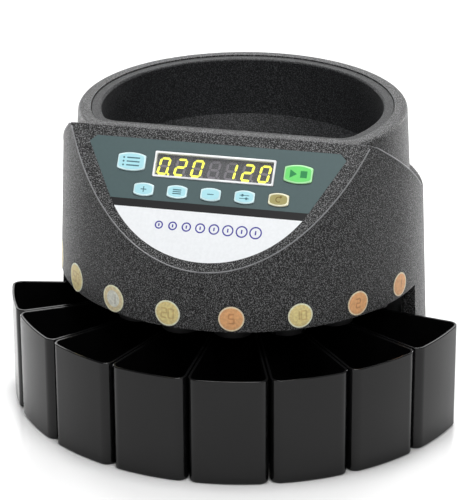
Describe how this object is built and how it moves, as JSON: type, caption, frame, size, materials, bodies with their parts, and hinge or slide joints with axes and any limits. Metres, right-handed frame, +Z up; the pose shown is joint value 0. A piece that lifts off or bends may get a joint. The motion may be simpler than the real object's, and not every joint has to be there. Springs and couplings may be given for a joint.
{
  "type": "coin sorting machine",
  "caption": "Electric coin sorter: round hopper over a spinning disc, sloped key panel with digit display, and a fan of pull-out coin boxes in front of a rear column.",
  "frame": {"origin": "middle of the bounding box of the whole machine with its boxes in place, on the surface it stands on", "axes": "+Z up, front with panel and coin boxes towards -Y, +X to the right of a person facing the panel; the drum axis is upright, 17.60 mm behind the origin"},
  "size_m": [0.3516, 0.3264, 0.2342],
  "materials": {
    "textured_black": "fine-grained moulded ABS",
    "smooth_black": "polished polystyrene",
    "bowl_grey": "satin ABS",
    "panel_print": "printed polyester sheet, slate, black and white",
    "bezel_white": "satin white",
    "window_clear": "clear acrylic pane",
    "led_module": "black face with yellow segments",
    "key_cyan": "satin pale cyan",
    "key_green": "satin green",
    "key_olive": "satin olive",
    "label_print": "printed vinyl",
    "board_green": "solder mask",
    "board_parts": "moulded parts",
    "zinc_steel": "zinc-plated sheet",
    "screw_steel": "plated",
    "shaft_steel": "ground",
    "motor_steel": "plated can",
    "disc_alloy": "turned",
    "gear_acetal": "natural acetal",
    "rubber_black": "moulded",
    "copper_wire": "varnished copper winding",
    "core_iron": "laminated"
  },
  "bodies": {
    "machine": {"base_pan": "textured_black", "bearing_housing": "zinc_steel", "board_spacers": "zinc_steel", "chassis_deck": "zinc_steel", "chassis_screws": "screw_steel", "chute_plate": "smooth_black", "coin_chutes": "smooth_black", "coin_guide_ring": "smooth_black", "coin_labels": "label_print", "coin_sensors": "board_parts", "control_board": "board_green", "control_board_screws": "screw_steel", "data_port": "smooth_black", "deck_posts": "zinc_steel", "display_frame": "bezel_white", "display_modules": "led_module", "display_window": "window_clear", "drive_motor": "motor_steel", "fuse_holder": "smooth_black", "gearbox": "motor_steel", "hopper_bowl": "bowl_grey", "hopper_tower": "textured_black", "housing": "textured_black", "main_board": "board_green", "main_board_parts": "board_parts", "panel_overlay": "panel_print", "pedestal_wall": "textured_black", "power_inlet": "smooth_black", "rail_pillars": "zinc_steel", "rail_ring": "disc_alloy", "rear_plate": "textured_black", "rear_plate_screws": "screw_steel", "rubber_feet": "rubber_black", "sensor_board": "board_green", "shaft_bearings": "shaft_steel", "switch_frame": "smooth_black", "tact_switches": "board_parts", "transformer_core": "core_iron", "transformer_winding": "copper_wire"},
    "disc": {"sorting_disc": "disc_alloy", "hub_knob": "rubber_black", "drive_gear": "gear_acetal", "main_shaft": "shaft_steel"},
    "pinion": {"motor_pinion": "gear_acetal"},
    "rocker": {"power_rocker": "smooth_black"},
    "box_1": {"coin_box_1": "smooth_black"},
    "box_2": {"coin_box_2": "smooth_black"},
    "box_3": {"coin_box_3": "smooth_black"},
    "box_4": {"coin_box_4": "smooth_black"},
    "box_5": {"coin_box_5": "smooth_black"},
    "box_6": {"coin_box_6": "smooth_black"},
    "box_7": {"coin_box_7": "smooth_black"},
    "box_8": {"coin_box_8": "smooth_black"},
    "key_batch": {"key_batch": "key_cyan"},
    "key_clear": {"key_clear": "key_olive"},
    "key_minus": {"key_minus": "key_cyan"},
    "key_plus": {"key_plus": "key_cyan"},
    "key_report": {"key_report": "key_cyan"},
    "key_settings": {"key_settings": "key_cyan"},
    "key_start": {"key_start": "key_green"}
  },
  "joints": [
    {"name": "disc_spin", "type": "hinge", "parent": "machine", "child": "disc", "pos_m": [0, 0.0176, 0], "axis": [0, 0, 1], "continuous": true},
    {"name": "pinion_spin", "type": "hinge", "parent": "machine", "child": "pinion", "pos_m": [0, 0.0716, 0], "axis": [0, 0, 1], "continuous": true},
    {"name": "key_batch_press", "type": "slide", "parent": "machine", "child": "key_batch", "axis": [0, 0.788, -0.6157], "range_m": [0, 0.0008], "stiffness_N_per_m": 1500, "springref_m": -0.0002},
    {"name": "key_clear_press", "type": "slide", "parent": "machine", "child": "key_clear", "axis": [0, 0.788, -0.6157], "range_m": [0, 0.0008], "stiffness_N_per_m": 1500, "springref_m": -0.0002},
    {"name": "key_minus_press", "type": "slide", "parent": "machine", "child": "key_minus", "axis": [0, 0.788, -0.6157], "range_m": [0, 0.0008], "stiffness_N_per_m": 1500, "springref_m": -0.0002},
    {"name": "key_plus_press", "type": "slide", "parent": "machine", "child": "key_plus", "axis": [0, 0.788, -0.6157], "range_m": [0, 0.0008], "stiffness_N_per_m": 1500, "springref_m": -0.0002},
    {"name": "key_report_press", "type": "slide", "parent": "machine", "child": "key_report", "axis": [0, 0.788, -0.6157], "range_m": [0, 0.0008], "stiffness_N_per_m": 1500, "springref_m": -0.0002},
    {"name": "key_settings_press", "type": "slide", "parent": "machine", "child": "key_settings", "axis": [0, 0.788, -0.6157], "range_m": [0, 0.0008], "stiffness_N_per_m": 1500, "springref_m": -0.0002},
    {"name": "key_start_press", "type": "slide", "parent": "machine", "child": "key_start", "axis": [0, 0.788, -0.6157], "range_m": [0, 0.0008], "stiffness_N_per_m": 1500, "springref_m": -0.0002},
    {"name": "box_1_pull", "type": "slide", "parent": "machine", "child": "box_1", "axis": [-0.9321, -0.3623, 0], "range_m": [0, 0.11]},
    {"name": "box_2_pull", "type": "slide", "parent": "machine", "child": "box_2", "axis": [-0.756, -0.6546, 0], "range_m": [0, 0.11]},
    {"name": "box_3_pull", "type": "slide", "parent": "machine", "child": "box_3", "axis": [-0.4919, -0.8706, 0], "range_m": [0, 0.11]},
    {"name": "box_4_pull", "type": "slide", "parent": "machine", "child": "box_4", "axis": [-0.1706, -0.9853, 0], "range_m": [0, 0.11]},
    {"name": "box_5_pull", "type": "slide", "parent": "machine", "child": "box_5", "axis": [0.1706, -0.9853, 0], "range_m": [0, 0.11]},
    {"name": "box_6_pull", "type": "slide", "parent": "machine", "child": "box_6", "axis": [0.4919, -0.8706, 0], "range_m": [0, 0.11]},
    {"name": "box_7_pull", "type": "slide", "parent": "machine", "child": "box_7", "axis": [0.756, -0.6546, 0], "range_m": [0, 0.11]},
    {"name": "box_8_pull", "type": "slide", "parent": "machine", "child": "box_8", "axis": [0.9321, -0.3623, 0], "range_m": [0, 0.11]},
    {"name": "rocker_tip", "type": "hinge", "parent": "machine", "child": "rocker", "pos_m": [0.006, 0.1456, 0.044], "axis": [1, 0, 0], "range_deg": [-24, 0]}
  ],
  "couplings": [
    {"joint": "pinion_spin", "follows": "disc_spin", "ratio": -5}
  ]
}
